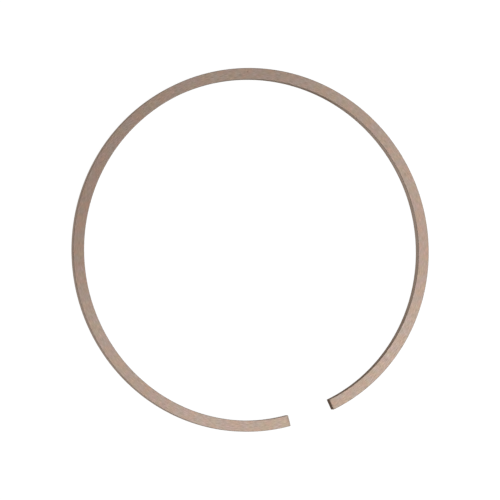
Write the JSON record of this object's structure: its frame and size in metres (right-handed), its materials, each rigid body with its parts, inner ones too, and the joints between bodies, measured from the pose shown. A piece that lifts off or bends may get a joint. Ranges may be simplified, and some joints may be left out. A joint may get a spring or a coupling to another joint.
{
  "type": "metal seal ring",
  "caption": "Split metal sealing ring of near-square section with straight butt ends, lying open as before fitting; it springs out against a bore and seals on its side faces.",
  "frame": {"origin": "middle of the free ring's own box, at the level of the lower side face", "axes": "+Z along the ring's axis from the lower side face to the upper one; the gap is on the -Y side and the back of the ring on the +Y side; the ring is even about the YZ plane"},
  "size_m": [0.105, 0.1024, 0.0025],
  "materials": {
    "lapped_bronze": "lapped matte bronze, pinkish tan, with turned walls a little darker"
  },
  "bodies": {
    "root": {"seal_ring": "lapped_bronze"}
  },
  "joints": []
}
